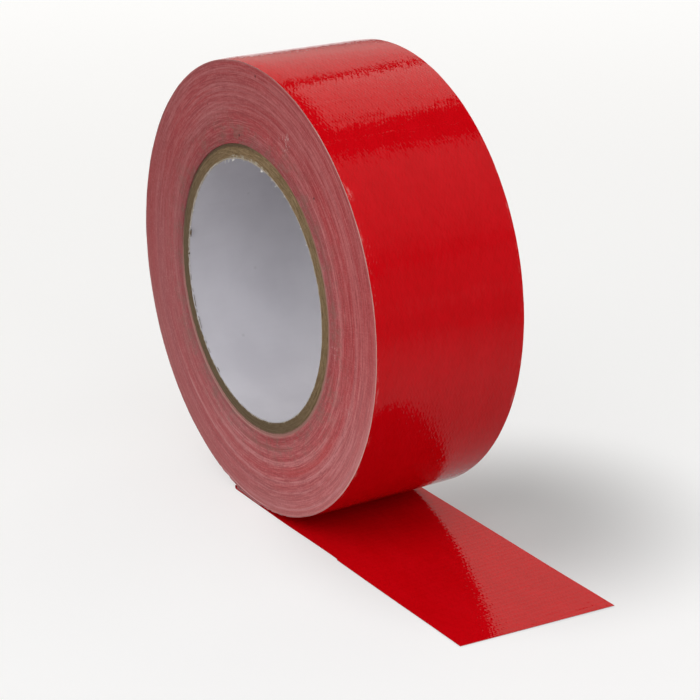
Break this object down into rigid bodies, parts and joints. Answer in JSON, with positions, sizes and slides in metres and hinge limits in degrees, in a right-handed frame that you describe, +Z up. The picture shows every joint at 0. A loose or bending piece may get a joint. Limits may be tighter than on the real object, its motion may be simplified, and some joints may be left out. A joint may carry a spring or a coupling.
{
  "type": "duct tape roll",
  "caption": "Roll of red cloth-backed duct tape wound on a brown board core, standing on its own loose end, which folds back under the roll and lies flat in front.",
  "frame": {"origin": "centre of the core's bore, on the roll's axis and midway across the tape", "axes": "+Y along the roll's axis, away from the side face that the picture shows; +X the way the loose end runs; +Z up from the surface it lies on"},
  "size_m": [0.1767, 0.0487, 0.1349],
  "materials": {
    "red_film": "gloss",
    "woven_cloth": "matte",
    "adhesive": "satin",
    "tape_edge": "matte",
    "brown_board": "matte",
    "liner_paper": "matte"
  },
  "bodies": {
    "tail": {"tail_adhesive": "adhesive", "tail_cloth": "woven_cloth", "tail_film": "red_film"},
    "roll": {"core_liner": "liner_paper", "core_ply_1": "brown_board", "core_ply_2": "brown_board", "core_ply_3": "brown_board", "core_ply_4": "brown_board", "core_ply_5": "brown_board", "core_ply_6": "brown_board", "core_ply_7": "brown_board", "wound_tape": "tape_edge", "turn_adhesive": "adhesive", "turn_cloth": "woven_cloth", "turn_film": "red_film"},
    "free_end": {"end_adhesive": "adhesive", "end_cloth": "woven_cloth", "end_film": "red_film"}
  },
  "joints": [
    {"name": "roll_spin", "type": "hinge", "parent": "tail", "child": "roll", "pos_m": [0, 0, 0], "axis": [0, 1, 0], "continuous": true},
    {"name": "tail_lift", "type": "hinge", "parent": "tail", "child": "free_end", "pos_m": [0.045, 0.0007, -0.06753], "axis": [0, -1, 0], "range_deg": [0, 60]}
  ]
}
